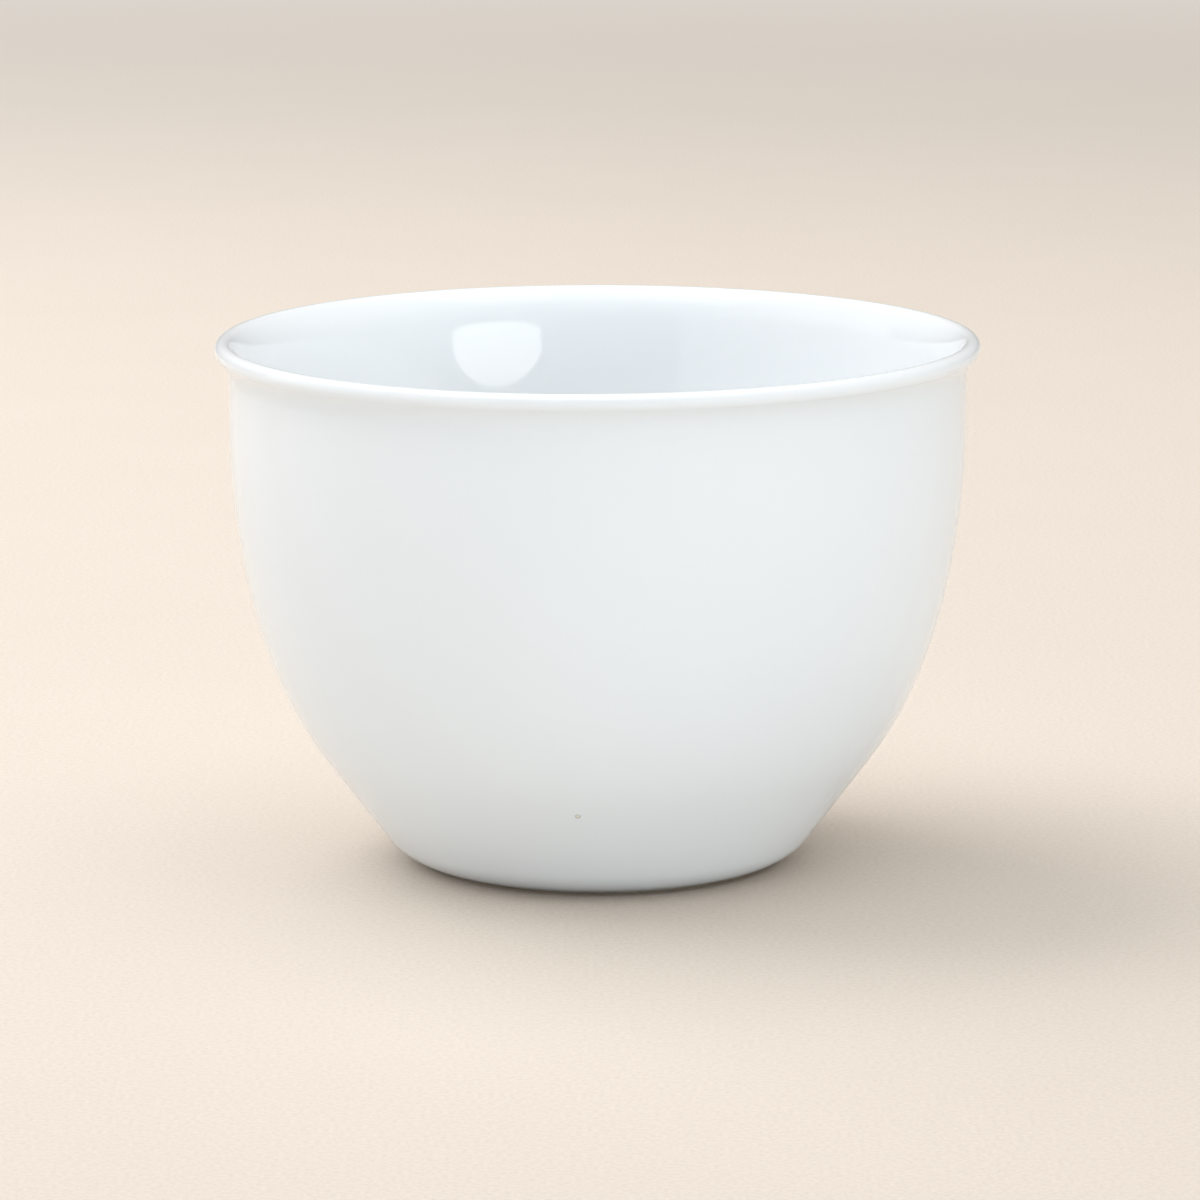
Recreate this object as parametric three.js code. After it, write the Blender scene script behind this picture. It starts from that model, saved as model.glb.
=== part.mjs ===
// A tea cup without a handle, in white porcelain: a turned bowl with a rolled lip, a foot ring and two coats
// of glaze.
// Lengths are millimetres and angles degrees, +Z is up, and the origin is the middle of the circle it rests on.

import * as THREE from "three";

// Outside of the cup, from the lip down
const HEIGHT = 60.9; // resting face to the crest of the lip
const LIP_RADIUS = 44; // axis to the outermost point of the lip
const LIP_OVERHANG = 1.58; // how far the lip stands out from the upper wall
const LIP_ROUNDING = 1.04; // radius of the lip's edge
const LIP_UNDERCUT = 48.5; // how far the lip's edge turns under before the fillet takes over
const NECK_LENGTH = 5.1; // straight wall under the fillet
const TAPER_ANGLE = 36.8; // lean of the straight lower wall, from the vertical
const TAPER_LENGTH = 11.9; // slant length of that wall
const CORNER_RADIUS = 7.45; // rounding from the lower wall to the foot
const CORNER_CENTRE = 18.9; // axis to the middle of that rounding
const BELLY_HIGH_PULL = 0.37; // how closely the belly keeps to the neck's line, from 0 to 1
const BELLY_LOW_PULL = 0.85; // how closely it keeps to the taper's line

// Inside of the cup
const WALL = 3.4; // lower wall, from glazed face to glazed face
const FLOOR_HEIGHT = 6.4; // resting face to the inside floor
const BOWL_ROUNDING = 14; // rounding from the inside floor to the wall
const FLARE_RADIUS = 6.8; // rounding inside the lip
const FLARE_TOP_LEAN = 40; // lean of the inside face where the lip's edge ends, from the vertical
const FLARE_LOW_LEAN = 9.4; // lean of the inside face below the flare
const EASE_RADIUS = 140; // slow rounding from the flare down to the throat
const THROAT_LEAN = 8.4; // lean of the inside face at the throat, where it is steepest
const BORE_HIGH_PULL = 0.26; // how closely the inside keeps to the throat's line
const BORE_LOW_PULL = 0.84; // how closely it keeps to the inside taper's line

// Foot ring and the recess in it
const FOOT_JOINT = 28; // where the foot meets the bowl on the rounded corner, from straight down
const FOOT_WIDTH = 3; // flat resting face
const FOOT_CHAMFER = 0.55; // broken edge on both sides of that face
const RECESS_DEPTH = 2.5; // resting face to the clay under the floor

// Glaze
const GLAZE = 0.3; // thickness of either coat
const BARE_BAND = 0.2; // clay left bare between the foot's broken edge and the coat
const MENISCUS = 0.8; // hollow rounding where the base glaze climbs the foot
const JOINT_GAP = 0.02; // clearance at every seat between two pieces

// Facets
const SEGMENTS = 48; // round the axis
const STEPS = {
  bare: 1,
  heel: 2,
  corner: 3,
  belly: 9,
  fillet: 3,
  bead: 3,
  flare: 3,
  ease: 1,
  bore: 9,
  bowl: 4,
  meniscus: 3,
};

// Finishes
const FIRED_CLAY = { color: "#ece9e2", roughness: 0.8, metalness: 0 };
const BARE_CLAY = { color: "#e4dfd5", roughness: 0.85, metalness: 0 };
const GLOSS_GLAZE = { color: "#eaeef0", roughness: 0.08, metalness: 0 };

const vector = (r, z) => new THREE.Vector2(r, z);
const direction = (degrees) => {
  const radians = THREE.MathUtils.degToRad(degrees);
  return vector(Math.cos(radians), Math.sin(radians));
};
const along = (start, way, distance) => start.clone().addScaledVector(way, distance);

// A station is a point of the glazed profile with the direction that the surface faces there. The profile
// runs up the outside, over the lip and down the inside, so every surface faces to the right of its run.

// Stations on an arc whose facing turns from one angle to another: a hollow arc has a negative radius.
function arc(centre, radius, fromFacing, toFacing, steps) {
  return Array.from({ length: steps + 1 }, (_, i) => {
    const facing = direction(THREE.MathUtils.lerp(fromFacing, toFacing, i / steps));
    return { point: along(centre, facing, radius), facing };
  });
}

// Where the lines from two points cross.
function crossing(start, startWay, end, endWay) {
  const distance = end.clone().sub(start).cross(endWay) / startWay.cross(endWay);
  return along(start, startWay, distance);
}

// Stations on a smooth curve that leaves one station and reaches another along their own lines.
function curve(start, startHeading, end, endHeading, startPull, endPull, steps) {
  const corner = crossing(start, direction(startHeading), end, direction(endHeading));
  const bezier = new THREE.CubicBezierCurve(
    start,
    start.clone().lerp(corner, startPull),
    end.clone().lerp(corner, endPull),
    end,
  );
  return Array.from({ length: steps + 1 }, (_, i) => {
    const heading = bezier.getTangent(i / steps);
    return { point: bezier.getPoint(i / steps), facing: vector(heading.y, -heading.x) };
  });
}

// Points that lie a set depth under the glazed surface.
const under = (stations, depth) => stations.map(({ point, facing }) => along(point, facing, -depth));

const lower = (point, distance) => vector(point.x, point.y - distance);
const last = (list) => list[list.length - 1];

// Clay lies under the glaze, with the clearance of a seat.
const CLAY_DEPTH = GLAZE + JOINT_GAP;

// Glazed profile: outside. The coat stops a bare band above the broken edge of the foot.
const clayCorner = CORNER_RADIUS - CLAY_DEPTH;
const edgeAngle = THREE.MathUtils.radToDeg(Math.acos((CORNER_RADIUS - FOOT_CHAMFER) / clayCorner));
const glazeLine = edgeAngle + THREE.MathUtils.radToDeg(BARE_BAND / clayCorner);
const cornerMiddle = vector(CORNER_CENTRE, CORNER_RADIUS);
const heel = arc(cornerMiddle, CORNER_RADIUS, glazeLine - 90, FOOT_JOINT - 90, STEPS.heel);
const corner = arc(cornerMiddle, CORNER_RADIUS, FOOT_JOINT - 90, -TAPER_ANGLE, STEPS.corner);
const taperTop = along(last(corner).point, direction(90 - TAPER_ANGLE), TAPER_LENGTH);

const neckRadius = LIP_RADIUS - LIP_OVERHANG;
const beadMiddle = vector(LIP_RADIUS - LIP_ROUNDING, HEIGHT - LIP_ROUNDING);
const undercut = along(beadMiddle, direction(-LIP_UNDERCUT), LIP_ROUNDING);
const filletRadius = (undercut.x - neckRadius) / (1 - direction(LIP_UNDERCUT).x);
const filletMiddle = along(undercut, direction(-LIP_UNDERCUT), filletRadius);
const neckBottom = vector(neckRadius, filletMiddle.y - NECK_LENGTH);

const belly = curve(taperTop, 90 - TAPER_ANGLE, neckBottom, 90, BELLY_LOW_PULL, BELLY_HIGH_PULL, STEPS.belly);
const fillet = arc(filletMiddle, -filletRadius, 0, -LIP_UNDERCUT, STEPS.fillet);

// Glazed profile: lip and inside
const flareFacing = 180 - FLARE_TOP_LEAN;
const easeFacing = 180 - FLARE_LOW_LEAN;
const throatFacing = 180 - THROAT_LEAN;
const bead = [
  ...arc(beadMiddle, LIP_ROUNDING, -LIP_UNDERCUT, 0, STEPS.bead),
  ...arc(beadMiddle, LIP_ROUNDING, 0, 90, STEPS.bead).slice(1),
  ...arc(beadMiddle, LIP_ROUNDING, 90, flareFacing, STEPS.bead).slice(1),
];
const flareMiddle = along(beadMiddle, direction(flareFacing), LIP_ROUNDING - FLARE_RADIUS);
const flare = arc(flareMiddle, FLARE_RADIUS, flareFacing, easeFacing, STEPS.flare);
const easeMiddle = along(flareMiddle, direction(easeFacing), FLARE_RADIUS - EASE_RADIUS);
const ease = arc(easeMiddle, EASE_RADIUS, easeFacing, throatFacing, STEPS.ease);

const taperFacing = 180 - TAPER_ANGLE;
const innerTaperTop = along(taperTop, direction(taperFacing), WALL);
const bowlMiddle = crossing(
  along(innerTaperTop, direction(taperFacing), BOWL_ROUNDING),
  direction(taperFacing + 90),
  vector(0, FLOOR_HEIGHT + BOWL_ROUNDING),
  direction(0),
);
const bore = curve(
  last(ease).point,
  throatFacing + 90,
  innerTaperTop,
  taperFacing + 90,
  BORE_HIGH_PULL,
  BORE_LOW_PULL,
  STEPS.bore,
);
const bowl = arc(bowlMiddle, -BOWL_ROUNDING, taperFacing, 90, STEPS.bowl);
const floorCentre = { point: vector(0, FLOOR_HEIGHT), facing: direction(90) };

const outside = [...corner, ...belly];
const lip = [...fillet, ...bead.slice(1), ...flare.slice(1)];
const inside = [...ease, ...bore.slice(1), ...bowl, floorCentre];

// Clay under the coat
const clayOutside = under(outside, CLAY_DEPTH);
const clayLip = under(lip, CLAY_DEPTH);
const clayInside = under(inside, CLAY_DEPTH);

// The foot's side carries on round the corner, from its joint under the coat to the broken edge.
const bare = arc(cornerMiddle, CORNER_RADIUS, edgeAngle - 90, glazeLine - 90, STEPS.bare);
const footSide = under([...bare, ...heel.slice(1)], CLAY_DEPTH);
const restOuter = footSide[0].x - FOOT_CHAMFER;
const restInner = restOuter - FOOT_WIDTH;
const recessRadius = restInner - FOOT_CHAMFER;

// Turns a closed profile round the axis and stands it up along +Z.
function turned(name, profile, finish) {
  const geometry = new THREE.LatheGeometry(profile, SEGMENTS).rotateX(Math.PI / 2);
  const mesh = new THREE.Mesh(geometry, new THREE.MeshStandardMaterial(finish));
  mesh.name = name;
  return mesh;
}

// Fired clay wall and floor, between the lip's seat and the foot's.
function porcelainBowl() {
  const profile = [
    vector(0, RECESS_DEPTH),
    vector(recessRadius, RECESS_DEPTH),
    ...clayOutside,
    lower(clayLip[0], JOINT_GAP),
    lower(clayInside[0], JOINT_GAP),
    ...clayInside.slice(1),
  ];
  return turned("porcelain_bowl", profile, FIRED_CLAY);
}

// Rolled rim, on a sloped seat round the top of the bowl.
function rolledLip() {
  return turned("rolled_lip", [...clayLip, clayLip[0]], FIRED_CLAY);
}

// Ring that the cup stands on, bare below the coat, on a sloped seat under the bowl.
function footRing() {
  const profile = [
    vector(recessRadius, RECESS_DEPTH - JOINT_GAP),
    vector(recessRadius, FOOT_CHAMFER),
    vector(restInner, 0),
    vector(restOuter, 0),
    ...footSide.slice(0, -1),
    lower(last(footSide), JOINT_GAP),
  ];
  return turned("foot_ring", [...profile, profile[0]], BARE_CLAY);
}

// Glass that covers the cup from the foot's side, over the lip and down to the middle of the inside floor.
function glazeCoat() {
  const surface = [...heel, ...outside.slice(1), ...lip, ...inside.slice(1)];
  const back = under(surface, GLAZE).reverse();
  const face = surface.map(({ point }) => point);
  return turned("glaze_coat", [...back, ...face], GLOSS_GLAZE);
}

// Patch of glass in the recess, which climbs the foot's inner side at its edge.
function baseGlaze() {
  const top = RECESS_DEPTH - JOINT_GAP;
  const edge = recessRadius - JOINT_GAP;
  const hollow = vector(edge - MENISCUS, top - GLAZE - MENISCUS);
  const profile = [
    vector(0, top - GLAZE),
    ...arc(hollow, -MENISCUS, 270, 180, STEPS.meniscus).map(({ point }) => point),
    vector(edge, top),
    vector(0, top),
  ];
  return turned("base_glaze", profile, GLOSS_GLAZE);
}

const cup = new THREE.Group();
cup.add(porcelainBowl(), rolledLip(), footRing(), glazeCoat(), baseGlaze());

export default cup;
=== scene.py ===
"""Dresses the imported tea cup: glazed white porcelain on a pale studio floor, from the photograph's angle.

Sizes of the cup are millimetres and angles are degrees, as in the part's own drawing, and the studio's sizes
are metres. Meshes are written in metres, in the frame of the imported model: +Z up the cup's axis, the origin
on the table, the camera looking along +Y.
"""

import logging
import math
from dataclasses import dataclass, field
from enum import Enum
from functools import cached_property

import bpy
import numpy as np
from mathutils import Matrix, Vector


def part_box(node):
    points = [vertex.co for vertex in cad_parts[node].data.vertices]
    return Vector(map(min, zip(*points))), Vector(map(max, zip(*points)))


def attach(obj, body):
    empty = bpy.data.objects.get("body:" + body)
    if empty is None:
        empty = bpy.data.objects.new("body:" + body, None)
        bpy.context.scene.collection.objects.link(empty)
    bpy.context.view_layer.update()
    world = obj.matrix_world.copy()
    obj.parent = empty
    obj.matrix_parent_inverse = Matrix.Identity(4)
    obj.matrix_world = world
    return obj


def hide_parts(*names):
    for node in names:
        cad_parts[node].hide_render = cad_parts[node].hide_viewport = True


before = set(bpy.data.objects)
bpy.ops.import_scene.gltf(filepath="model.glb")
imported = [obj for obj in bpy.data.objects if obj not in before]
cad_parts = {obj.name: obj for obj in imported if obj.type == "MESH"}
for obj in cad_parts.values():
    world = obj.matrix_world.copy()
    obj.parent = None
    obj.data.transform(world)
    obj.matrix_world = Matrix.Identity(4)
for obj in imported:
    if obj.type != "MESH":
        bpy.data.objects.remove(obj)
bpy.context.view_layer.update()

MM = 0.001
BODY = "root"
POOL_ATTRIBUTE = "glaze_pool"
ON_AXIS = 1e-9
SHARP_EDGE = 40.0
EDGE_SHARE = 0.4
LOG = logging.getLogger("tea_cup")

Colour = tuple[float, float, float]
Pair = tuple[float, float]
Place = tuple[float, float, float]

BACKDROP: Colour = (0.8, 0.755, 0.7)
COOL: Colour = (0.945, 0.977, 1.0)
COLD: Colour = (0.87, 0.95, 1.0)


class Slot(Enum):
    """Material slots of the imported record."""

    PORCELAIN = "porcelain"
    BARE_FOOT = "bare_foot"
    GLAZE = "glaze"


class LampShape(Enum):
    """Outline of a soft studio lamp."""

    RECTANGLE = "RECTANGLE"
    ELLIPSE = "ELLIPSE"


# Profiles in the plane of the axis


def unit(degrees: float | np.ndarray) -> np.ndarray:
    """Unit vectors (radius, height) at angles measured from the outward radius."""
    radians = np.radians(degrees)
    return np.stack([np.cos(radians), np.sin(radians)], axis=-1)


def crossing(start: np.ndarray, start_way: np.ndarray, end: np.ndarray, end_way: np.ndarray) -> np.ndarray:
    """Point where two lines cross: start + start_way * t, with t from the cross products of the ways.

    Args:
        start: Point on the first line.
        start_way: Direction of the first line.
        end: Point on the second line.
        end_way: Direction of the second line.

    Returns:
        The crossing as (radius, height).
    """
    reach = end - start
    across = reach[0] * end_way[1] - reach[1] * end_way[0]
    return start + start_way * across / (start_way[0] * end_way[1] - start_way[1] * end_way[0])


def softened(corners: np.ndarray, rounding: float, steps: int) -> np.ndarray:
    """Closed outline with every corner rounded: each corner becomes a quadratic curve between its two edges.

    Args:
        corners: Outline points in order, (count, 2).
        rounding: Distance from a corner at which its curve starts, at most EDGE_SHARE of the edge.
        steps: Curve steps at each corner.

    Returns:
        Points of the rounded outline, (count * (steps + 1), 2).
    """
    before = np.roll(corners, 1, axis=0) - corners
    after = np.roll(corners, -1, axis=0) - corners
    length_before = np.linalg.norm(before, axis=1, keepdims=True)
    length_after = np.linalg.norm(after, axis=1, keepdims=True)
    start = corners + before / length_before * np.minimum(rounding, EDGE_SHARE * length_before)
    end = corners + after / length_after * np.minimum(rounding, EDGE_SHARE * length_after)
    t = np.linspace(0.0, 1.0, steps + 1)[None, :, None]
    curves = (1 - t) ** 2 * start[:, None] + 2 * t * (1 - t) * corners[:, None] + t**2 * end[:, None]
    return curves.reshape(-1, 2)


@dataclass(frozen=True)
class Run:
    """Stretch of a profile: points (radius, height) and the unit direction that the surface faces at each."""

    points: np.ndarray
    facings: np.ndarray

    @staticmethod
    def arc(centre: np.ndarray, radius: float, first: float, final: float, steps: int) -> "Run":
        """Arc whose facing turns evenly: point = centre + radius * facing.

        Args:
            centre: Middle of the arc.
            radius: Radius, negative where the surface is hollow.
            first: Facing at the start, in degrees.
            final: Facing at the end.
            steps: Steps along the arc.

        Returns:
            The arc as a run.
        """
        facings = unit(np.linspace(first, final, steps + 1))
        return Run(np.asarray(centre) + radius * facings, facings)

    @staticmethod
    def curve(
        start: np.ndarray, start_way: float, end: np.ndarray, end_way: float, pulls: Pair, steps: int
    ) -> "Run":
        """Cubic curve whose handles lie part of the way from its ends to where its end tangents cross.

        Args:
            start: First point.
            start_way: Heading at the first point, in degrees.
            end: Last point.
            end_way: Heading at the last point.
            pulls: Shares of the way to the crossing for the two handles.
            steps: Steps along the curve.

        Returns:
            The curve as a run, facing to the right of its heading.
        """
        corner = crossing(start, unit(start_way), end, unit(end_way))
        near = start + pulls[0] * (corner - start)
        far = end + pulls[1] * (corner - end)
        t = np.linspace(0.0, 1.0, steps + 1)[:, None]
        points = (1 - t) ** 3 * start + 3 * (1 - t) ** 2 * t * near + 3 * (1 - t) * t**2 * far + t**3 * end
        slopes = (1 - t) ** 2 * (near - start) + 2 * (1 - t) * t * (far - near) + t**2 * (end - far)
        heading = slopes / np.linalg.norm(slopes, axis=1, keepdims=True)
        return Run(points, np.stack([heading[:, 1], -heading[:, 0]], axis=-1))

    @staticmethod
    def straight(start: np.ndarray, facing: np.ndarray, distances: np.ndarray) -> "Run":
        """Line of points at set distances from its start, along the heading that has facing on its right."""
        heading = np.array([-facing[1], facing[0]])
        return Run(start + distances[:, None] * heading, np.tile(facing, (len(distances), 1)))

    def then(self, *others: "Run") -> "Run":
        """This run with others after it, each without its first station, which repeats the one before."""
        runs = (self, *(Run(other.points[1:], other.facings[1:]) for other in others))
        return Run(np.concatenate([r.points for r in runs]), np.concatenate([r.facings for r in runs]))

    def under(self, depth: float | np.ndarray) -> np.ndarray:
        """Points that lie a depth under the surface: point - depth * facing."""
        return self.points - np.reshape(depth, (-1, 1)) * self.facings

    def lengths(self) -> np.ndarray:
        """Length along the run from its start to each point."""
        steps = np.linalg.norm(np.diff(self.points, axis=0), axis=1)
        return np.concatenate([[0.0], np.cumsum(steps)])

    def bend(self, blur: float) -> np.ndarray:
        """Turn of the facing per millimetre, averaged with a bell curve: above zero where it is rounded out.

        Args:
            blur: Width of the bell curve along the run.

        Returns:
            One value for each station.
        """
        along = self.lengths()
        angle = np.unwrap(np.arctan2(self.facings[:, 1], self.facings[:, 0]))
        turn = np.gradient(angle, along, edge_order=1)
        share = np.gradient(along)
        weight = np.exp(-(((along[:, None] - along[None, :]) / blur) ** 2)) * share
        return weight @ turn / weight.sum(axis=1)


@dataclass(frozen=True)
class Pinhole:
    """Burst bubble in the glaze: a small crater with a low raised edge.

    The widths of its bells, the place of its edge and the reach of the close mesh are shares of its radius.
    """

    height: float = 11.4
    azimuth: float = -4.2
    radius: float = 0.36
    depth: float = 0.06
    edge: float = 0.012
    crater_width: float = 0.62
    edge_place: float = 1.2
    edge_width: float = 0.3
    mesh_reach: float = 2.2
    mesh_lines: int = 23

    def mesh_offsets(self) -> np.ndarray:
        """Distances from its middle at which the mesh has close lines."""
        return np.linspace(-self.mesh_reach, self.mesh_reach, self.mesh_lines) * self.radius

    def centre(self, radius: float) -> np.ndarray:
        """Its place in the frame, on a wall of the given radius."""
        turn = math.radians(self.azimuth)
        return np.array([radius * math.sin(turn), -radius * math.cos(turn), self.height])

    def dent(self, points: np.ndarray, centre: np.ndarray) -> np.ndarray:
        """Depth of the crater: a bell curve of the distance from its centre, less a narrow bell for its edge.

        Args:
            points: Surface points, (count, 3).
            centre: Middle of the crater on the surface.

        Returns:
            Depth under the surface at each point.
        """
        away = np.linalg.norm(points - centre, axis=1) / self.radius
        crater = np.exp(-((away / self.crater_width) ** 2))
        edge = np.exp(-(((away - self.edge_place) / self.edge_width) ** 2))
        return self.depth * crater - self.edge * edge


@dataclass(frozen=True)
class KilnWarp:
    """Slight unevenness of the rim from firing, which fades to nothing at the foot."""

    height: float
    radius: float
    tilt: float = 0.08
    saddle: float = 0.08

    def __call__(self, points: np.ndarray) -> np.ndarray:
        """Raises each point by (z / height)^2 * (tilt * x / radius - saddle * 2 * x * y / radius^2).

        Args:
            points: Points in millimetres, (count, 3).

        Returns:
            The moved points.
        """
        x, y, z = points.T / np.array([self.radius, self.radius, self.height])[:, None]
        lift = z**2 * (self.tilt * x - self.saddle * 2 * x * y)
        return points + lift[:, None] * np.array([0.0, 0.0, 1.0])


@dataclass(frozen=True)
class Steps:
    """Mesh steps along each stretch of the profile."""

    coat_edge: int = 14
    heel: int = 6
    corner: int = 12
    taper: int = 13
    belly: int = 52
    neck: int = 5
    fillet: int = 18
    bead: int = 40
    flare: int = 18
    ease: int = 6
    bore: int = 52
    cone: int = 4
    bowl: int = 22
    floor: int = 7
    foot_side: int = 8


@dataclass(frozen=True)
class CupForm:
    """Sizes of the cup, as the part's source has them, and the glazed profile that follows from them."""

    height: float
    lip_radius: float
    lip_overhang: float = 1.58
    lip_rounding: float = 1.04
    lip_undercut: float = 48.5
    neck_length: float = 5.1
    taper_angle: float = 36.8
    taper_length: float = 11.9
    corner_radius: float = 7.45
    corner_centre: float = 18.9
    belly_pulls: Pair = (0.85, 0.37)
    wall: float = 3.4
    floor_height: float = 6.4
    bowl_rounding: float = 14.0
    flare_radius: float = 6.8
    flare_top_lean: float = 40.0
    flare_low_lean: float = 9.4
    ease_radius: float = 140.0
    throat_lean: float = 8.4
    bore_pulls: Pair = (0.26, 0.84)
    foot_joint: float = 28.0
    foot_width: float = 3.0
    foot_chamfer: float = 0.55
    recess_depth: float = 2.5
    glaze: float = 0.3
    bare_band: float = 0.2
    coat_edge: float = 4.0
    meniscus: float = 0.8
    joint_gap: float = 0.02
    pinhole: Pinhole = Pinhole()
    steps: Steps = Steps()

    @property
    def clay_depth(self) -> float:
        """How far the clay lies under the glazed face."""
        return self.glaze + self.joint_gap

    @property
    def corner_middle(self) -> np.ndarray:
        """Middle of the rounding from the lower wall to the foot."""
        return np.array([self.corner_centre, self.corner_radius])

    @property
    def bead_middle(self) -> np.ndarray:
        """Middle of the lip's rounded edge."""
        return np.array([self.lip_radius - self.lip_rounding, self.height - self.lip_rounding])

    @cached_property
    def taper(self) -> Run:
        """Straight lower wall, with close stations where the pinhole is."""
        facing = unit(-self.taper_angle)
        start = self.corner_middle + self.corner_radius * facing
        hole = (self.pinhole.height - start[1]) / facing[0]
        close = hole + self.pinhole.mesh_offsets()
        stations = np.concatenate([np.linspace(0.0, self.taper_length, self.steps.taper + 1), close])
        return Run.straight(start, facing, np.unique(stations))

    @property
    def edge_angle(self) -> float:
        """Where the foot's broken edge starts on the rounded corner, from straight down."""
        share = (self.corner_radius - self.foot_chamfer) / (self.corner_radius - self.clay_depth)
        return math.degrees(math.acos(share))

    @property
    def glaze_line(self) -> float:
        """Where the coat stops on the rounded corner, from straight down."""
        return self.edge_angle + math.degrees(self.bare_band / (self.corner_radius - self.clay_depth))

    @cached_property
    def heel(self) -> Run:
        """Glazed face over the foot's side, with close stations at the coat's edge."""
        first = self.glaze_line - 90
        middle = first + self.coat_edge
        edge = Run.arc(self.corner_middle, self.corner_radius, first, middle, self.steps.coat_edge)
        side = Run.arc(self.corner_middle, self.corner_radius, middle, self.foot_joint - 90, self.steps.heel)
        return edge.then(side)

    @cached_property
    def outside(self) -> Run:
        """Glazed face from the foot's joint up to the lip's fillet."""
        steps = self.steps
        joint = self.foot_joint - 90
        corner = Run.arc(self.corner_middle, self.corner_radius, joint, -self.taper_angle, steps.corner)
        end = self.taper.points[-1]
        neck = self.lip_radius - self.lip_overhang
        top = self.fillet.points[0] - np.array([0.0, self.neck_length])
        belly = Run.curve(end, 90 - self.taper_angle, top, 90.0, self.belly_pulls, steps.belly)
        rise = np.linspace(0.0, self.neck_length, steps.neck + 1)
        return corner.then(self.taper, belly, Run.straight(np.array([neck, top[1]]), unit(0.0), rise))

    @cached_property
    def fillet(self) -> Run:
        """Hollow rounding from the upper wall out to the underside of the lip."""
        facing = unit(-self.lip_undercut)
        undercut = self.bead_middle + self.lip_rounding * facing
        reach = undercut[0] - (self.lip_radius - self.lip_overhang)
        radius = reach / (1 - math.cos(math.radians(self.lip_undercut)))
        return Run.arc(undercut + radius * facing, -radius, 0.0, -self.lip_undercut, self.steps.fillet)

    @cached_property
    def lip(self) -> Run:
        """Fillet, rounded edge and flare, down to where the inside wall starts."""
        top, low = 180 - self.flare_top_lean, 180 - self.flare_low_lean
        bead = Run.arc(self.bead_middle, self.lip_rounding, -self.lip_undercut, top, self.steps.bead)
        flare_middle = self.bead_middle + (self.lip_rounding - self.flare_radius) * unit(top)
        flare = Run.arc(flare_middle, self.flare_radius, top, low, self.steps.flare)
        return self.fillet.then(bead, flare)

    @cached_property
    def inside(self) -> Run:
        """Inside wall from under the flare to the middle of the floor."""
        steps = self.steps
        top = 180 - self.flare_low_lean
        throat = 180 - self.throat_lean
        taper = 180 - self.taper_angle
        ease_middle = self.lip.points[-1] - self.ease_radius * unit(top)
        ease = Run.arc(ease_middle, self.ease_radius, top, throat, steps.ease)
        foot = self.taper.points[-1] + self.wall * unit(taper)
        bore = Run.curve(ease.points[-1], throat + 90, foot, taper + 90, self.bore_pulls, steps.bore)
        inward = self.bowl_rounding * unit(taper)
        level = np.array([0.0, self.floor_height + self.bowl_rounding])
        bowl_middle = crossing(foot + inward, unit(taper + 90), level, unit(0.0))
        slant = np.linalg.norm(bowl_middle - inward - foot)
        cone = Run.straight(foot, unit(taper), np.linspace(0.0, slant, steps.cone + 1))
        bowl = Run.arc(bowl_middle, -self.bowl_rounding, taper, 90.0, steps.bowl)
        edge = bowl.points[-1]
        floor = Run.straight(edge, unit(90.0), np.linspace(0.0, edge[0], steps.floor + 1))
        return ease.then(bore, cone, bowl, floor)

    @cached_property
    def foot_side(self) -> np.ndarray:
        """Clay of the foot's outer side, from its broken edge up to its joint with the bowl."""
        first, final = self.edge_angle - 90, self.foot_joint - 90
        side = Run.arc(self.corner_middle, self.corner_radius, first, final, self.steps.foot_side)
        return side.under(self.clay_depth)

    @property
    def rest_outer(self) -> float:
        """Outer radius of the resting face."""
        return self.foot_side[0][0] - self.foot_chamfer

    @property
    def recess_radius(self) -> float:
        """Radius of the recess inside the foot ring."""
        return self.rest_outer - self.foot_width - self.foot_chamfer


# Meshes turned round the axis


def even_angles(count: int) -> np.ndarray:
    """Evenly spaced angles round the axis, in radians, from the camera's side."""
    return np.linspace(-math.pi, math.pi, count, endpoint=False)


def carried(profile: np.ndarray, angles: np.ndarray) -> np.ndarray:
    """Profile carried round the axis: x = radius * sin(angle), y = -radius * cos(angle), z = height.

    Args:
        profile: Points (radius, height), (count, 2).
        angles: Angles round the axis.

    Returns:
        Grid of points, (count, angles, 3).
    """
    radius, height = profile[:, :1], profile[:, 1:]
    ring = np.ones_like(angles)[None, :]
    return np.stack([radius * np.sin(angles), -radius * np.cos(angles), height * ring], axis=-1)


def on_axis(profile: np.ndarray, around: int) -> tuple[np.ndarray, np.ndarray]:
    """Stations of a turned grid that lie on the axis, where only the first of their points is kept.

    Args:
        profile: Points (radius, height), (count, 2).
        around: Number of angles.

    Returns:
        True for each station on the axis, and for each grid point that is kept.
    """
    poles = profile[:, 0] < ON_AXIS
    return poles, ~poles[:, None] | (np.arange(around) == 0)[None, :]


def turned_faces(poles: np.ndarray, around: int, closed: bool) -> tuple[np.ndarray, np.ndarray]:
    """Faces of a turned grid: quads between stations and angles, and triangles at points on the axis.

    Args:
        poles: True for each station that lies on the axis and so is a single vertex.
        around: Number of angles.
        closed: Whether the last station joins the first.

    Returns:
        The quads and the triangles, as vertex numbers.
    """
    counts = np.where(poles, 1, around)
    first = np.concatenate([[0], np.cumsum(counts)[:-1]])
    low = np.arange(len(poles) if closed else len(poles) - 1)
    high = (low + 1) % len(poles)
    here = np.arange(around)[None, :]
    there = (here + 1) % around
    ring = ~poles[low] & ~poles[high]
    a, b = first[low][:, None], first[high][:, None]
    quads = np.stack([a + here, a + there, b + there, b + here], axis=-1)[ring].reshape(-1, 4)
    rising = (poles[low] & ~poles[high])[:, None] & (here >= 0)
    falling = (~poles[low] & poles[high])[:, None] & (here >= 0)
    fan_up = np.stack([a + 0 * here, b + there, b + here], axis=-1)[rising]
    fan_down = np.stack([a + here, a + there, b + 0 * here], axis=-1)[falling]
    return quads, np.concatenate([fan_up, fan_down])


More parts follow.
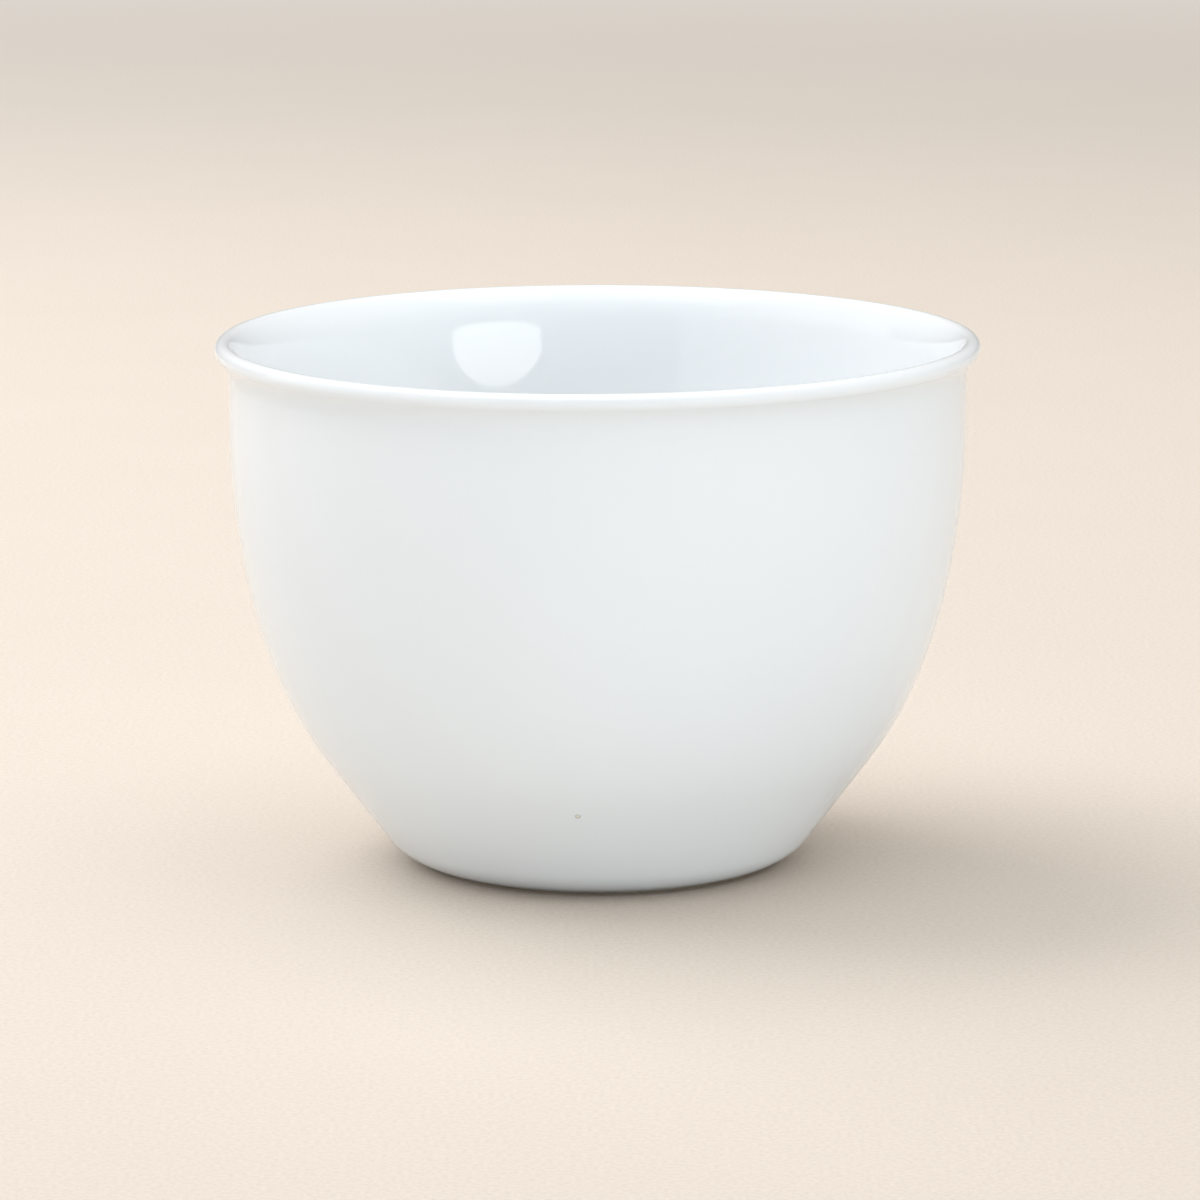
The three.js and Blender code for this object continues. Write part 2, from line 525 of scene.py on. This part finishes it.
def mesh_from(name: str, points: np.ndarray, quads: np.ndarray, triangles: np.ndarray) -> bpy.types.Mesh:
    """Writes points in millimetres and their faces into a smooth mesh in metres.

    Args:
        name: Name of the mesh.
        points: Vertices, (count, 3).
        quads: Vertex numbers of the four-sided faces.
        triangles: Vertex numbers of the three-sided faces.

    Returns:
        The new mesh.
    """
    mesh = bpy.data.meshes.new(name)
    corners = np.concatenate([quads.ravel(), triangles.ravel()])
    starts = np.concatenate([np.arange(len(quads)) * 4, len(quads) * 4 + np.arange(len(triangles)) * 3])
    mesh.vertices.add(len(points))
    mesh.vertices.foreach_set("co", (points * MM).astype(np.float32).ravel())
    mesh.loops.add(len(corners))
    mesh.loops.foreach_set("vertex_index", corners.astype(np.int32))
    mesh.polygons.add(len(starts))
    mesh.polygons.foreach_set("loop_start", starts.astype(np.int32))
    mesh.update(calc_edges=True)
    mesh.validate()
    mesh.polygons.foreach_set("use_smooth", np.ones(len(starts), dtype=bool))
    mesh.set_sharp_from_angle(angle=math.radians(SHARP_EDGE))
    return mesh


def placed(mesh: bpy.types.Mesh) -> bpy.types.Object:
    """Object for a mesh, at the origin and unturned, in the scene's own collection."""
    piece = bpy.data.objects.new(mesh.name, mesh)
    bpy.context.scene.collection.objects.link(piece)
    return piece


@dataclass(frozen=True)
class Lathe:
    """Turns profiles into meshes, with the warp of the firing in them."""

    warp: KilnWarp

    def turn(
        self,
        name: str,
        profile: np.ndarray,
        angles: np.ndarray,
        closed: bool,
        shift: np.ndarray | None = None,
    ) -> tuple[bpy.types.Object, np.ndarray]:
        """Carries a profile round the axis and closes it, with one vertex where it meets the axis.

        Args:
            name: Name of the piece.
            profile: Points (radius, height), with the solid on the left of their run.
            angles: Angles round the axis.
            closed: Whether the last point joins the first.
            shift: Move of each grid point before the warp, (stations, angles, 3), or nothing.

        Returns:
            The piece, and the station number of each of its vertices.
        """
        grid = carried(profile, angles)
        if shift is not None:
            grid = grid + shift
        poles, kept = on_axis(profile, len(angles))
        stations = np.broadcast_to(np.arange(len(profile))[:, None], kept.shape)[kept]
        quads, triangles = turned_faces(poles, len(angles), closed)
        return placed(mesh_from(name, self.warp(grid[kept]), quads, triangles)), stations


def settle(piece: bpy.types.Object, node: str, material: bpy.types.Material) -> None:
    """Lets a piece stand for its node, ride on the cup's body and wear its finish.

    Args:
        piece: The finished piece.
        node: CAD node that it stands for.
        material: Finish to wear.
    """
    piece.data.materials.clear()
    piece.data.materials.append(material)
    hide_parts(node)
    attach(piece, BODY)
    LOG.info("%s: %d vertices, %d faces", piece.name, len(piece.data.vertices), len(piece.data.polygons))


# Shader graphs


class Signal:
    """Output of a node: arithmetic on it adds Math nodes."""

    def __init__(self, graph: "NodeGraph", socket: bpy.types.NodeSocket) -> None:
        """Keeps the graph and the socket."""
        self.graph = graph
        self.socket = socket

    def __add__(self, other: "Signal | float") -> "Signal":
        """Sum."""
        return self.graph.math("ADD", self, other)

    __radd__ = __add__

    def __sub__(self, other: "Signal | float") -> "Signal":
        """Difference."""
        return self.graph.math("SUBTRACT", self, other)

    def __rsub__(self, other: float) -> "Signal":
        """Difference from a number."""
        return self.graph.math("SUBTRACT", other, self)

    def __mul__(self, other: "Signal | float") -> "Signal":
        """Product."""
        return self.graph.math("MULTIPLY", self, other)

    __rmul__ = __mul__

    def __truediv__(self, other: "Signal | float") -> "Signal":
        """Quotient."""
        return self.graph.math("DIVIDE", self, other)


class NodeGraph:
    """Node tree of a material or a world, emptied and filled by code."""

    def __init__(self, tree: bpy.types.NodeTree) -> None:
        """Takes over a tree."""
        self.tree = tree
        tree.nodes.clear()

    @staticmethod
    def _socket(sockets: bpy.types.bpy_prop_collection, key: str | int) -> bpy.types.NodeSocket:
        """Socket with an identifier, or failing that a name or number."""
        named = [socket for socket in sockets if socket.identifier == key]
        return named[0] if named else sockets[key]

    def add(
        self,
        kind: str,
        settings: dict | None = None,
        sockets: dict | None = None,
        out: str | int = 0,
    ) -> Signal:
        """Adds a node.

        Args:
            kind: Type of the node.
            settings: Its properties, set before its sockets.
            sockets: Values or signals for its inputs, by identifier or name.
            out: Output to return.

        Returns:
            That output.
        """
        node = self.tree.nodes.new(kind)
        for name, value in (settings or {}).items():
            setattr(node, name, value)
        for name, value in (sockets or {}).items():
            socket = self._socket(node.inputs, name)
            if isinstance(value, Signal):
                self.tree.links.new(value.socket, socket)
            else:
                socket.default_value = value
        return Signal(self, self._socket(node.outputs, out)) if len(node.outputs) else Signal(self, None)

    def math(self, operation: str, *values: Signal | float) -> Signal:
        """Math node on signals and numbers."""
        names = ("Value", "Value_001", "Value_002")
        return self.add("ShaderNodeMath", {"operation": operation}, dict(zip(names, values)))

    def mix(self, share: Signal | float, base: Signal | Colour, over: Signal | Colour) -> Signal:
        """Colour between two colours, by a share that is held from 0 to 1."""
        colours = {
            key: value if isinstance(value, Signal) else (*value, 1.0)
            for key, value in (("A_Color", base), ("B_Color", over))
        }
        return self.add(
            "ShaderNodeMix",
            {"data_type": "RGBA", "clamp_factor": True},
            {"Factor_Float": share, **colours},
            "Result_Color",
        )

    def smooth(self, value: Signal, low: float, high: float) -> Signal:
        """Smooth step from 0 at low to 1 at high."""
        return self.add(
            "ShaderNodeMapRange",
            {"interpolation_type": "SMOOTHSTEP"},
            {"Value": value, "From Min": low, "From Max": high},
        )

    def measure(self, operation: str, vector: Signal, other: Place = (0.0, 0.0, 0.0)) -> Signal:
        """Number from a Vector Math node: a length, a distance or a dot product."""
        vectors = {"Vector": vector, "Vector_001": other}
        return self.add("ShaderNodeVectorMath", {"operation": operation}, vectors, "Value")

    def places(self) -> Signal:
        """Object coordinates, in metres in the frame of the model."""
        return self.add("ShaderNodeTexCoord", out="Object")

    def noise(self, places: Signal, grain: float, detail: float) -> Signal:
        """Noise from 0 to 1.

        Args:
            places: Coordinates in metres.
            grain: Size of its coarsest features, in millimetres.
            detail: Number of finer octaves.

        Returns:
            The noise value.
        """
        spread = (1 / (grain * MM),) * 3
        scaled = self.add("ShaderNodeMapping", None, {"Vector": places, "Scale": spread})
        return self.add("ShaderNodeTexNoise", None, {"Vector": scaled, "Scale": 1.0, "Detail": detail})

    def bump(self, height: Signal, depth: float, under: Signal | None = None) -> Signal:
        """Normal of a relief whose height runs from 0 to 1 over a depth in millimetres."""
        sockets = {"Height": height, "Distance": depth * MM, "Strength": 1.0}
        return self.add("ShaderNodeBump", None, sockets | ({"Normal": under} if under else {}))


def material_graph(name: str) -> tuple[bpy.types.Material, NodeGraph]:
    """New material and its empty graph."""
    material = bpy.data.materials.new(name)
    material.use_nodes = True
    return material, NodeGraph(material.node_tree)


def close_surface(graph: NodeGraph, sockets: dict) -> None:
    """Ends a graph with a Principled surface that has these sockets."""
    surface = graph.add("ShaderNodeBsdfPrincipled", None, sockets)
    graph.add("ShaderNodeOutputMaterial", None, {"Surface": surface})


def seen_directly(graph: NodeGraph) -> Signal:
    """1 for rays from the camera and for mirrored or refracted ones, 0 for scattered light."""
    kinds = ("Camera", "Glossy", "Transmission")
    camera, glossy, refracted = (graph.add("ShaderNodeLightPath", out=f"Is {kind} Ray") for kind in kinds)
    return graph.math("MAXIMUM", camera, graph.math("MAXIMUM", glossy, refracted))


@dataclass(frozen=True)
class GlossGlaze:
    """Clear gloss glaze over white clay: faintly blue, deeper where it pools and paler where it is thin.

    Grains and reliefs are millimetres. The bands of the pinhole are shares of its radius.
    """

    name: str
    body: Colour = (0.895, 0.914, 0.93)
    pooled: Colour = (0.872, 0.902, 0.925)
    thin: Colour = (0.91, 0.923, 0.935)
    roughness: float = 0.02
    index: float = 1.5
    cloud_grain: float = 17.0
    cloud_floor: float = 0.35
    cloud_tone: float = 0.5
    cloud_band: Pair = (0.45, 0.8)
    cloud_rough: float = 0.025
    cloud_relief: float = 0.003
    ripple_grain: float = 2.4
    ripple_rough: float = 0.01
    ripple_relief: float = 0.0006
    hole: Pinhole | None = None
    hole_radius: float = 0.0
    # grey of the pinhole's ring, partly painted shade of the crater's edge
    hole_ring_shade: Colour = (0.62, 0.59, 0.545)
    hole_core: Colour = (0.83, 0.82, 0.71)
    hole_grain: float = 0.35
    hole_ragged: float = 0.3
    hole_rough: float = 0.3
    shade_ring_band: Pair = (0.8, 1.1)
    core_band: Pair = (0.3, 0.6)

    def material(self) -> bpy.types.Material:
        """Material with cloudiness, pooling, a faint ripple and, where there is one, the pinhole."""
        material, graph = material_graph(self.name)
        places = graph.places()
        cloud = graph.noise(places, self.cloud_grain, 2.0)
        ripple = graph.noise(places, self.ripple_grain, 1.0)
        pool = graph.add("ShaderNodeAttribute", {"attribute_name": POOL_ATTRIBUTE}, out="Fac")
        colour = graph.mix(graph.smooth(pool, 0.0, 1.0), self.body, self.pooled)
        colour = graph.mix(graph.smooth(0.0 - pool, 0.0, 1.0), colour, self.thin)
        colour = graph.mix((cloud - self.cloud_floor) * self.cloud_tone, colour, self.pooled)
        dulled = self.cloud_rough * graph.smooth(cloud, *self.cloud_band)
        rough = self.roughness + dulled + self.ripple_rough * ripple
        if self.hole is not None:
            colour, rough = self._hole(graph, places, colour, rough)
        normal = graph.bump(ripple, self.ripple_relief, graph.bump(cloud, self.cloud_relief))
        close_surface(graph, {"Base Color": colour, "Roughness": rough, "Normal": normal, "IOR": self.index})
        return material

    def _hole(self, graph: NodeGraph, places: Signal, colour: Signal, rough: Signal) -> tuple[Signal, Signal]:
        """Draws the pinhole over the glaze: a grey ring, partly painted shade of the crater's edge, round a
        core of clay, by distance from its middle.

        Args:
            graph: Graph to draw in.
            places: Coordinates in metres.
            colour: Colour of the glaze.
            rough: Roughness of the glaze.

        Returns:
            Colour and roughness with the pinhole in them.
        """
        centre = tuple(self.hole.centre(self.hole_radius) * MM)
        away = graph.measure("DISTANCE", places, centre)
        wander = self.hole_ragged * (graph.noise(places, self.hole_grain, 1.0) - 0.5)
        ragged = away / (self.hole.radius * MM) + wander
        # the pinhole's grey ring, partly painted shade of the crater's edge
        ring = 1.0 - graph.smooth(ragged, *self.shade_ring_band)
        core = 1.0 - graph.smooth(ragged, *self.core_band)
        colour = graph.mix(core, graph.mix(ring, colour, self.hole_ring_shade), self.hole_core)
        return colour, rough + self.hole_rough * ring


@dataclass(frozen=True)
class FiredClay:
    """Biscuit clay under the glaze: chalky white with a fine tooth."""

    name: str = "fired_clay"
    body: Colour = (0.84, 0.82, 0.78)
    shade: Colour = (0.78, 0.755, 0.71)
    roughness: float = 0.75
    tooth_grain: float = 0.5
    tooth_tone: float = 0.3
    tooth_rough: float = 0.15
    tooth_relief: float = 0.02
    patch_grain: float = 9.0
    patch_tone: float = 0.6

    def material(self) -> bpy.types.Material:
        """Material with a fine grain in colour, roughness and relief."""
        material, graph = material_graph(self.name)
        places = graph.places()
        tooth = graph.noise(places, self.tooth_grain, 4.0)
        patch = graph.noise(places, self.patch_grain, 2.0)
        colour = graph.mix(self.patch_tone * patch + self.tooth_tone * tooth, self.body, self.shade)
        rough = self.roughness + self.tooth_rough * tooth
        normal = graph.bump(tooth, self.tooth_relief)
        close_surface(graph, {"Base Color": colour, "Roughness": rough, "Normal": normal})
        return material


@dataclass(frozen=True)
class BareClay:
    """Unglazed clay of the foot: matt and fine, with rings from trimming, dark grains and a warm blush."""

    name: str = "bare_clay"
    body: Colour = (0.78, 0.74, 0.67)
    blush: Colour = (0.72, 0.62, 0.5)
    grain: Colour = (0.52, 0.47, 0.41)
    roughness: float = 0.8
    ring_pitch: float = 0.42
    ring_wander: float = 9.0
    ring_relief: float = 0.015
    wander_grain: float = 12.0
    tooth_grain: float = 0.28
    tooth_band: Pair = (0.62, 0.78)
    tooth_tone: float = 0.5
    tooth_rough: float = 0.12
    tooth_relief: float = 0.03
    stain_grain: float = 6.0
    stain_band: Pair = (0.42, 0.75)
    stain_tone: float = 0.55

    def material(self) -> bpy.types.Material:
        """Material with trimming rings by distance from the axis, grains and a stain."""
        material, graph = material_graph(self.name)
        places = graph.places()
        level = {"Vector": places, "Vector_001": (1.0, 1.0, 0.0)}
        flat = graph.add("ShaderNodeVectorMath", {"operation": "MULTIPLY"}, level)
        turns = graph.measure("LENGTH", flat) * (2 * math.pi / (self.ring_pitch * MM))
        wander = graph.noise(places, self.wander_grain, 1.0)
        rings = graph.math("SINE", turns + self.ring_wander * wander) * 0.5 + 0.5
        tooth = graph.noise(places, self.tooth_grain, 4.0)
        stain = graph.noise(places, self.stain_grain, 3.0)
        colour = graph.mix(graph.smooth(stain, *self.stain_band) * self.stain_tone, self.body, self.blush)
        colour = graph.mix(graph.smooth(tooth, *self.tooth_band) * self.tooth_tone, colour, self.grain)
        rough = self.roughness + self.tooth_rough * tooth
        normal = graph.bump(tooth, self.tooth_relief, graph.bump(rings, self.ring_relief))
        close_surface(graph, {"Base Color": colour, "Roughness": rough, "Normal": normal})
        return material


@dataclass(frozen=True)
class FloorPaper:
    """Pale warm paper of the studio floor, with a fine tooth: it throws a plainer light back at the cup.

    Far from the cup it fades into the backdrop.
    """

    name: str = "floor_paper"
    body: Colour = (0.92, 0.825, 0.73)
    fleck: Colour = (0.82, 0.725, 0.63)
    bounce: Colour = (0.83, 0.8, 0.755)
    roughness: float = 0.7
    sheen: float = 0.2
    tooth_grain: float = 0.55
    tooth_band: Pair = (0.3, 0.75)
    tooth_tone: float = 0.7
    tooth_rough: float = 0.1
    tooth_relief: float = 0.02
    patch_grain: float = 40.0
    patch_tone: float = 0.25
    fade: Pair = (0.45, 1.5)

    def material(self) -> bpy.types.Material:
        """Material with a fine fibre grain and a soft unevenness of tone."""
        material, graph = material_graph(self.name)
        places = graph.places()
        tooth = graph.noise(places, self.tooth_grain, 3.0)
        patch = graph.noise(places, self.patch_grain, 2.0)
        tone = self.tooth_tone * graph.smooth(tooth, *self.tooth_band) + self.patch_tone * patch
        seen = seen_directly(graph)
        colour = graph.mix(seen, self.bounce, graph.mix(tone, self.body, self.fleck))
        rough = self.roughness + self.tooth_rough * tooth
        normal = graph.bump(tooth, self.tooth_relief)
        finish = {"Base Color": colour, "Roughness": rough, "Normal": normal}
        finish["Specular IOR Level"] = self.sheen
        paper = graph.add("ShaderNodeBsdfPrincipled", None, finish)
        pale = graph.add("ShaderNodeEmission", None, {"Color": (*BACKDROP, 1.0), "Strength": 1.0})
        far = seen * graph.smooth(graph.measure("LENGTH", places), *self.fade)
        surface = graph.add("ShaderNodeMixShader", None, {"Fac": far, "Shader": paper, "Shader_001": pale})
        graph.add("ShaderNodeOutputMaterial", None, {"Surface": surface})
        return material


# The cup


@dataclass
class ClayBody:
    """Fired clay of the cup: the bowl, the rolled lip on it and the foot ring under it.

    The bowl lies wholly under the glaze, so it keeps only some of the profile's stations.
    """

    form: CupForm
    lathe: Lathe
    around: int = 192
    stride: int = 2
    foot_rounding: float = 0.2
    foot_steps: int = 4
    pieces: dict[str, bpy.types.Object] = field(default_factory=dict)

    def build(self) -> None:
        """Turns the three clay pieces."""
        form = self.form
        gap = np.array([0.0, form.joint_gap])
        outside = form.outside.under(form.clay_depth)
        lip = form.lip.under(form.clay_depth)
        inside = form.inside.under(form.clay_depth)
        recess = np.array([[0.0, form.recess_depth], [form.recess_radius, form.recess_depth]])
        seat = np.array([lip[0] - gap, inside[0] - gap])
        bore = inside[1 : -1 : self.stride]
        bowl = np.concatenate([recess, outside[:: self.stride], seat, bore, inside[-1:]])
        self._turn("porcelain_bowl", bowl, False)
        self._turn("rolled_lip", lip, True)
        self._turn("foot_ring", self._foot_outline(gap), True)

    def _foot_outline(self, gap: np.ndarray) -> np.ndarray:
        """Outline of the foot ring, from its seat down the inner side, across the rest and up, softened.

        Args:
            gap: Clearance under the bowl, as (radius, height).

        Returns:
            Points (radius, height) of the closed outline.
        """
        form = self.form
        inner = form.rest_outer - form.foot_width
        corners = [
            [form.recess_radius, form.recess_depth - form.joint_gap],
            [form.recess_radius, form.foot_chamfer],
            [inner, 0.0],
            [form.rest_outer, 0.0],
            *form.foot_side[:-1],
            form.foot_side[-1] - gap,
        ]
        return softened(np.array(corners), self.foot_rounding, self.foot_steps)

    def _turn(self, name: str, profile: np.ndarray, closed: bool) -> None:
        """Turns one piece and keeps it by name."""
        self.pieces[name], _ = self.lathe.turn(name, profile, even_angles(self.around), closed)

    def dress(self) -> None:
        """Gives each clay piece its finish and its place on the cup."""
        hidden = FiredClay().material()
        settle(self.pieces["porcelain_bowl"], "porcelain_bowl", hidden)
        settle(self.pieces["rolled_lip"], "rolled_lip", hidden)
        settle(self.pieces["foot_ring"], "foot_ring", BareClay().material())


@dataclass
class GlazeCover:
    """Glass on the cup: the coat from the foot's side to the inside floor, and the patch in the recess."""

    form: CupForm
    lathe: Lathe
    around: int = 224
    edge_width: float = 0.45
    back_step: int = 3
    blur: float = 0.7
    pooling: float = 1.6
    patch_pool: float = 0.8
    patch_rings: int = 8
    meniscus_steps: int = 14
    pieces: dict[str, bpy.types.Object] = field(default_factory=dict)

    def build(self) -> None:
        """Turns the two coats."""
        self._coat()
        self._patch()

    def _coat(self) -> None:
        """Thin shell whose face rises from its edge in a quarter ellipse, with the pinhole sunk into it."""
        form = self.form
        face = form.heel.then(form.outside, form.lip, form.inside)
        along = np.minimum(face.lengths() / self.edge_width, 1.0)
        thickness = form.glaze * np.sqrt(1 - (1 - along) ** 2)
        surface = face.under(form.glaze - thickness)
        back = face.under(form.glaze)[: 0 : -self.back_step]
        profile = np.concatenate([back, surface])
        profile[[0, -1], 0] = 0.0
        facings = np.concatenate([np.zeros_like(back), face.facings])
        hole = form.pinhole
        close = math.radians(hole.azimuth) + hole.mesh_offsets() / self.hole_radius
        angles = np.unique(np.concatenate([even_angles(self.around), close]))
        grid = carried(profile, angles)
        dent = hole.dent(grid.reshape(-1, 3), hole.centre(self.hole_radius)).reshape(grid.shape[:2])
        shift = -dent[..., None] * carried(facings, angles)
        piece, stations = self.lathe.turn("glaze_coat", profile, angles, False, shift)
        pool = np.concatenate([np.zeros(len(back)), np.tanh(-self.pooling * face.bend(self.blur))])
        self._write_pool(piece, pool[stations])
        self.pieces["glaze_coat"] = piece

    @property
    def hole_radius(self) -> float:
        """Distance of the pinhole from the axis."""
        taper = self.form.taper.points
        return float(np.interp(self.form.pinhole.height, taper[:, 1], taper[:, 0]))

    def _patch(self) -> None:
        """Level patch in the recess, whose edge climbs the foot's inner side in a hollow rounding."""
        form = self.form
        top = form.recess_depth - form.joint_gap
        edge = form.recess_radius - form.joint_gap
        hollow = np.array([edge - form.meniscus, top - form.glaze - form.meniscus])
        rise = Run.arc(hollow, -form.meniscus, 270.0, 180.0, self.meniscus_steps)
        rings = np.linspace(0.0, hollow[0], self.patch_rings)
        level = np.stack([rings, np.full_like(rings, top - form.glaze)], axis=-1)
        profile = np.concatenate([level, rise.points[1:], [[edge, top], [0.0, top]]])
        piece, stations = self.lathe.turn("base_glaze", profile, even_angles(self.around), False)
        pool = np.interp(profile[:, 0], [edge - 2 * form.meniscus, edge], [0.0, self.patch_pool])
        self._write_pool(piece, pool[stations])
        self.pieces["base_glaze"] = piece

    @staticmethod
    def _write_pool(piece: bpy.types.Object, pool: np.ndarray) -> None:
        """Stores how far the glaze pools, or runs thin below zero, at each vertex."""
        attribute = piece.data.attributes.new(POOL_ATTRIBUTE, "FLOAT", "POINT")
        attribute.data.foreach_set("value", pool.astype(np.float32))

    def dress(self) -> None:
        """Gives both coats their finish and their place on the cup."""
        coat = GlossGlaze("gloss_glaze", hole=self.form.pinhole, hole_radius=self.hole_radius)
        settle(self.pieces["glaze_coat"], "glaze_coat", coat.material())
        settle(self.pieces["base_glaze"], "base_glaze", GlossGlaze("base_gloss").material())


# The studio


def towards(azimuth: float, elevation: float) -> Vector:
    """Unit direction from the cup: azimuth 0 is the camera's side, 90 is +X, and elevation 90 is up."""
    turn, rise = math.radians(azimuth), math.radians(elevation)
    return Vector((math.sin(turn) * math.cos(rise), -math.cos(turn) * math.cos(rise), math.sin(rise)))


@dataclass(frozen=True)
class Lamp:
    """Soft lamp that faces the cup, with its brightness as radiance, in metres and degrees.

    A lamp that isn't mirrored doesn't show in the glaze, and a flagged one is kept off the floor.
    """

    name: str
    azimuth: float
    elevation: float
    distance: float
    size: Pair
    radiance: float
    colour: Colour = (1.0, 1.0, 1.0)
    shape: LampShape = LampShape.RECTANGLE
    target: Place = (0.0, 0.0, 0.03)
    roll: float = 0.0
    mirrored: bool = True
    flagged: bool = False

    def hang(self, cup: bpy.types.Collection) -> None:
        """Makes the lamp: its power is radiance * pi * area.

        Args:
            cup: The cup's pieces, which are all that a flagged lamp lights.
        """
        data = bpy.data.lights.new(self.name, "AREA")
        data.shape = self.shape.value
        data.size, data.size_y = self.size
        area = self.size[0] * self.size[1] * (math.pi / 4 if self.shape is LampShape.ELLIPSE else 1.0)
        data.energy = self.radiance * math.pi * area
        data.color = self.colour
        lamp = bpy.data.objects.new(self.name, data)
        lamp.visible_glossy = self.mirrored
        if self.flagged:
            lamp.light_linking.receiver_collection = cup
        way = towards(self.azimuth, self.elevation)
        lamp.location = Vector(self.target) + way * self.distance
        facing = (-way).to_track_quat("-Z", "Y").to_matrix()
        lamp.rotation_euler = (facing @ Matrix.Rotation(math.radians(self.roll), 3, "Z")).to_euler()
        bpy.context.scene.collection.objects.link(lamp)


@dataclass(frozen=True)
class Glow:
    """Wide soft glow of the room, brightest in one direction: radiance * max(0, cosine) ^ sharpness."""

    azimuth: float
    elevation: float
    radiance: float
    sharpness: float = 3.0

    def strength(self, graph: NodeGraph, way: Signal) -> Signal:
        """Its radiance in the direction of a ray."""
        aim = tuple(towards(self.azimuth, self.elevation))
        cosine = graph.math("MAXIMUM", graph.measure("DOT_PRODUCT", way, aim), 0.0)
        return self.radiance * graph.math("POWER", cosine, self.sharpness)


@dataclass
class Studio:
    """Floor, soft lamps, room light and the camera at the photograph's place, in metres."""

    floor_radius: float = 2.2
    floor_drop: float = 0.00002
    floor_rings: int = 24
    floor_around: int = 96
    room: Colour = (1.0, 0.935, 0.86)
    even: float = 0.03
    glows: tuple[Glow, ...] = (Glow(90.0, 20.0, 0.5), Glow(180.0, 30.0, 0.32))
    eye: Place = (0.000232, -0.69145, 0.1623)
    pitch: float = 10.83
    roll: float = -0.1
    view_angle: float = 11.283
    clip: Pair = (0.05, 20.0)
    # Each lamp's azimuth, elevation, distance, size and radiance
    lamps: tuple[Lamp, ...] = (
        Lamp("key", -122.0, 46.0, 1.1, (1.02, 1.02), 2.12, mirrored=False),
        Lamp("top", 0.0, 89.0, 0.95, (1.5, 1.38), 1.25, COOL),
        Lamp("top_core", 0.0, 89.0, 0.95, (0.63, 0.63), 1.05, mirrored=False),
        Lamp("side_panel", -71.0, 8.0, 1.3, (2.35, 1.0), 0.85, target=(0.018, 0.033, 0.053)),
        Lamp(
            "front_strip", 34.6, 8.58, 1.2, (0.655, 0.062), 3.3,
            shape=LampShape.ELLIPSE,
            target=(-0.012, 0.038, 0.053),
            roll=-2.57,
        ),
        Lamp("front_fill", 0.0, 33.0, 1.3, (1.6, 0.7), 1.31, COLD, mirrored=False, flagged=True),
        Lamp("low_fill", 54.0, 6.0, 1.2, (1.0, 0.2), 6.0, COLD, mirrored=False, flagged=True),
        Lamp("low_front", -5.0, 6.0, 1.2, (1.0, 0.2), 1.3, COLD, mirrored=False, flagged=True),
    )

    def build(self, pieces: list[bpy.types.Object]) -> None:
        """Lays the floor and sets the light and the camera.

        Args:
            pieces: The cup's pieces, for the lamps that light them alone.
        """
        self._floor()
        cup = bpy.data.collections.new("lit_cup")
        for piece in pieces:
            cup.objects.link(piece)
        for lamp in self.lamps:
            lamp.hang(cup)
            LOG.info("lamp %s", lamp.name)
        self._room()
        self._camera()

    def _floor(self) -> None:
        """Round sheet under the cup: rings whose radius grows as the square of their number."""
        rings = (np.linspace(0.0, 1.0, self.floor_rings) ** 2 * self.floor_radius / MM)[::-1]
        profile = np.stack([rings, np.full_like(rings, -self.floor_drop / MM)], axis=-1)
        grid = carried(profile, even_angles(self.floor_around))
        poles, kept = on_axis(profile, self.floor_around)
        quads, triangles = turned_faces(poles, self.floor_around, False)
        floor = placed(mesh_from("studio_floor", grid[kept], quads, triangles))
        floor.data.materials.append(FloorPaper().material())

    def _room(self) -> None:
        """Room light: soft glows over an even one, in front of a plain pale backdrop."""
        world = bpy.data.worlds.new("studio_room")
        world.use_nodes = True
        graph = NodeGraph(world.node_tree)
        way = graph.add("ShaderNodeTexCoord", out="Generated")
        strength = sum((glow.strength(graph, way) for glow in self.glows), self.even)
        light = graph.add("ShaderNodeBackground", None, {"Color": (*self.room, 1.0), "Strength": strength})
        pale = graph.add("ShaderNodeBackground", None, {"Color": (*BACKDROP, 1.0), "Strength": 1.0})
        camera = graph.add("ShaderNodeLightPath", out="Is Camera Ray")
        seen = graph.add("ShaderNodeMixShader", None, {"Fac": camera, "Shader": light, "Shader_001": pale})
        graph.add("ShaderNodeOutputWorld", None, {"Surface": seen})
        bpy.context.scene.world = world

    def _camera(self) -> None:
        """Camera that looks along +Y and down, with the photograph's angle of view."""
        data = bpy.data.cameras.new("photo_camera")
        data.angle = math.radians(self.view_angle)
        data.clip_start, data.clip_end = self.clip
        camera = bpy.data.objects.new("photo_camera", data)
        camera.location = self.eye
        tilt = Matrix.Rotation(math.radians(90 - self.pitch), 4, "X")
        camera.rotation_euler = (tilt @ Matrix.Rotation(math.radians(self.roll), 4, "Z")).to_euler()
        bpy.context.scene.collection.objects.link(camera)
        bpy.context.scene.camera = camera
        bpy.context.scene.view_settings.view_transform = "Standard"


def main() -> None:
    """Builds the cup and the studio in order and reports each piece."""
    logging.basicConfig(level=logging.INFO, format="%(name)s: %(message)s")
    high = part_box("glaze_coat")[1]
    form = CupForm(height=high.z / MM, lip_radius=high.x / MM)
    lathe = Lathe(KilnWarp(form.height, form.lip_radius))
    clay = ClayBody(form, lathe)
    clay.build()
    clay.dress()
    cover = GlazeCover(form, lathe)
    cover.build()
    cover.dress()
    Studio().build([*clay.pieces.values(), *cover.pieces.values()])


if __name__ == "__main__":
    main()
